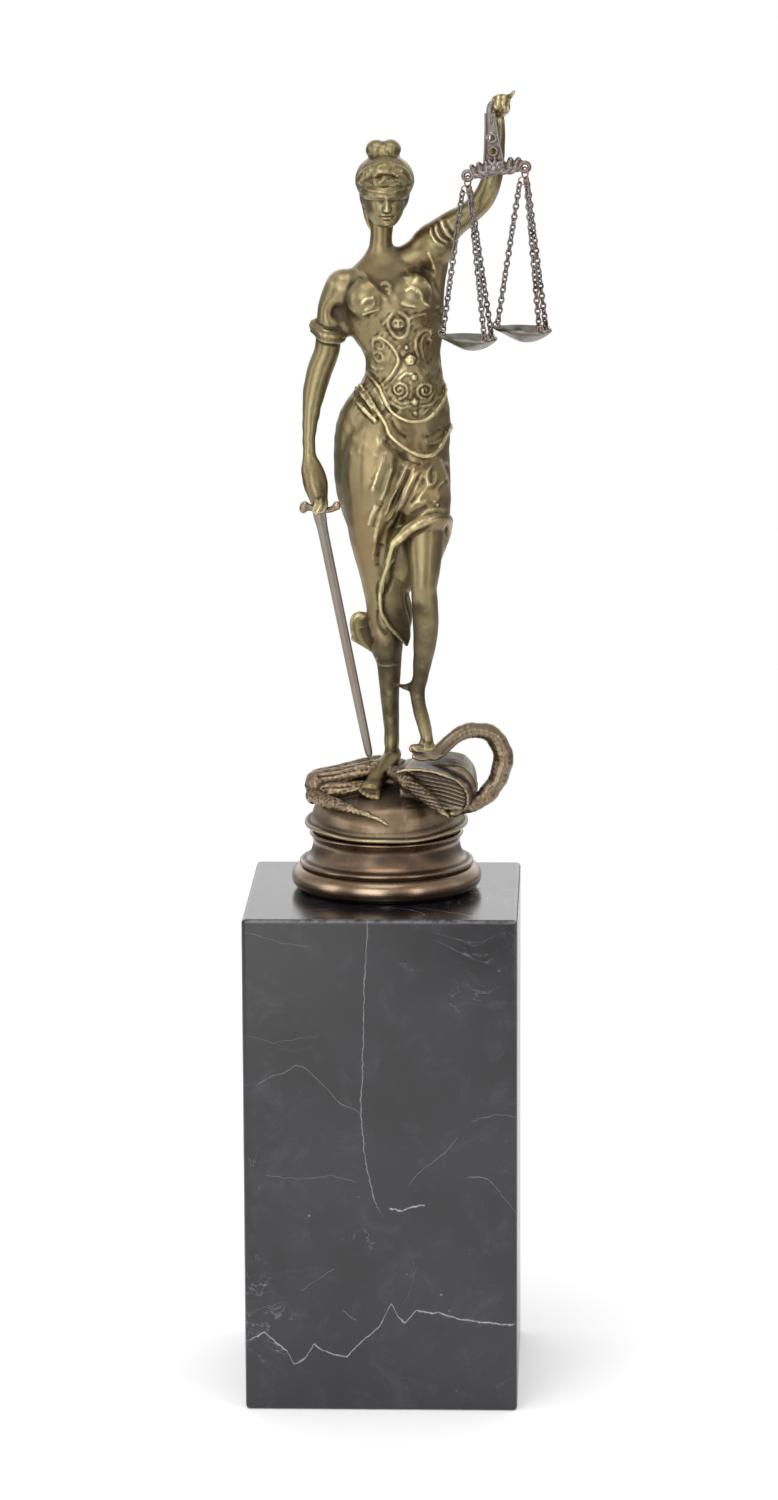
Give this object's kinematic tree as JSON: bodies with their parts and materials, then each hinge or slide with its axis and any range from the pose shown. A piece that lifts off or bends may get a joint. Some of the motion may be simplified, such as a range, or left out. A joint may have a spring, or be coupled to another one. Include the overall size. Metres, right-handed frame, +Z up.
{
  "type": "lady justice statue",
  "caption": "Bronze figure of blindfolded Justice with sword and hanging scales, on a turned socle and a square black marble block that stands on a shelf or desk",
  "frame": {"origin": "centre of the marble block's underside", "axes": "+Z up along the statue, -Y to the front that the figure faces, +X to the side of the scales"},
  "size_m": [0.1125, 0.1, 0.4807],
  "materials": {
    "black_marble": "honed near-black marble with pale veins",
    "socle_bronze": "polished red-brown patinated bronze",
    "figure_bronze": "olive-brown patinated bronze with rubbed bright ridges",
    "blade_metal": "grey-brown patinated bronze",
    "gunmetal": "dull grey-brown antiqued metal",
    "copper_wire": "antiqued copper wire"
  },
  "bodies": {
    "root": {"marble_plinth": "black_marble", "bronze_socle": "socle_bronze", "justice_figure": "figure_bronze", "sword": "blade_metal", "scale_beam": "gunmetal", "beam_ring_left": "copper_wire", "beam_ring_right": "copper_wire", "chain_left_1": "gunmetal", "chain_left_2": "gunmetal", "chain_left_3": "gunmetal", "chain_right_1": "gunmetal", "chain_right_2": "gunmetal", "chain_right_3": "gunmetal", "pan_left": "gunmetal", "pan_right": "gunmetal"}
  },
  "joints": []
}
